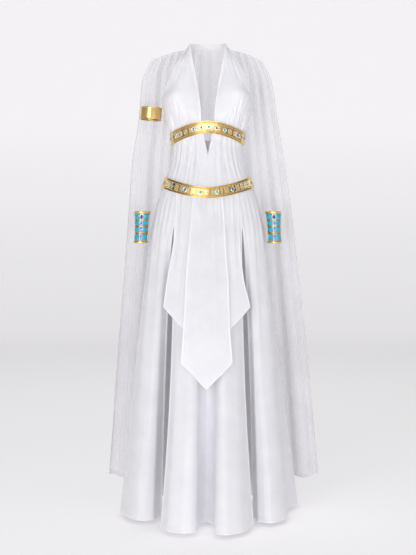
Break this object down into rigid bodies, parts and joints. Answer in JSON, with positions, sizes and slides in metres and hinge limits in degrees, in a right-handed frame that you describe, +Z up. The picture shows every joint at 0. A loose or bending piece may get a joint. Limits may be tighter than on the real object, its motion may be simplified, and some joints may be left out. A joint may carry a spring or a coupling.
{
  "type": "egyptian queen costume",
  "caption": "White halter gown with gold jewelled underbust band and hip belt, pointed overlay and front slits, sheer white cape, gold armlet and turquoise cuffs",
  "frame": {"origin": "middle of the neck opening, at the height where the halter lies on the wearer's neck", "axes": "+Z up; the front of the gown faces -Y; +X is the viewer's right, the wearer's left side"},
  "size_m": [0.6658, 0.6368, 1.4409],
  "materials": {
    "white_crepe": "matte",
    "white_chiffon": "matte",
    "gold_plate": "polished",
    "blue_stone": "gloss",
    "turquoise_enamel": "gloss"
  },
  "bodies": {
    "root": {"cup_left": "white_crepe", "cup_right": "white_crepe", "neck_band": "white_crepe", "bodice_front": "white_crepe", "bodice_back": "white_crepe", "skirt_front": "white_crepe", "skirt_side_left": "white_crepe", "skirt_side_right": "white_crepe", "skirt_back": "white_crepe", "overlay_pleat": "white_crepe", "overlay_wing_left": "white_crepe", "overlay_wing_right": "white_crepe", "belt_back": "white_crepe", "cape": "white_chiffon", "underbust_gold": "gold_plate", "belt_gold": "gold_plate", "armlet": "gold_plate", "cuff_left": "gold_plate", "cuff_right": "gold_plate", "cuff_left_strip": "gold_plate", "cuff_right_strip": "gold_plate", "underbust_stone_01": "blue_stone", "underbust_stone_02": "blue_stone", "underbust_stone_03": "blue_stone", "underbust_stone_04": "blue_stone", "underbust_stone_05": "blue_stone", "underbust_stone_06": "turquoise_enamel", "underbust_stone_07": "blue_stone", "underbust_stone_08": "turquoise_enamel", "underbust_stone_09": "blue_stone", "underbust_stone_10": "blue_stone", "underbust_stone_11": "blue_stone", "belt_stone_01": "blue_stone", "belt_stone_02": "turquoise_enamel", "belt_stone_03": "blue_stone", "belt_stone_04": "turquoise_enamel", "belt_stone_05": "turquoise_enamel", "belt_stone_06": "blue_stone", "belt_stone_07": "turquoise_enamel", "belt_stone_08": "blue_stone", "cuff_left_pad_1a": "turquoise_enamel", "cuff_left_pad_1b": "turquoise_enamel", "cuff_left_pad_2a": "turquoise_enamel", "cuff_left_pad_2b": "turquoise_enamel", "cuff_left_pad_3a": "turquoise_enamel", "cuff_left_pad_3b": "turquoise_enamel", "cuff_left_pad_4a": "turquoise_enamel", "cuff_left_pad_4b": "turquoise_enamel", "cuff_right_pad_1a": "turquoise_enamel", "cuff_right_pad_1b": "turquoise_enamel", "cuff_right_pad_2a": "turquoise_enamel", "cuff_right_pad_2b": "turquoise_enamel", "cuff_right_pad_3a": "turquoise_enamel", "cuff_right_pad_3b": "turquoise_enamel", "cuff_right_pad_4a": "turquoise_enamel", "cuff_right_pad_4b": "turquoise_enamel"}
  },
  "joints": []
}
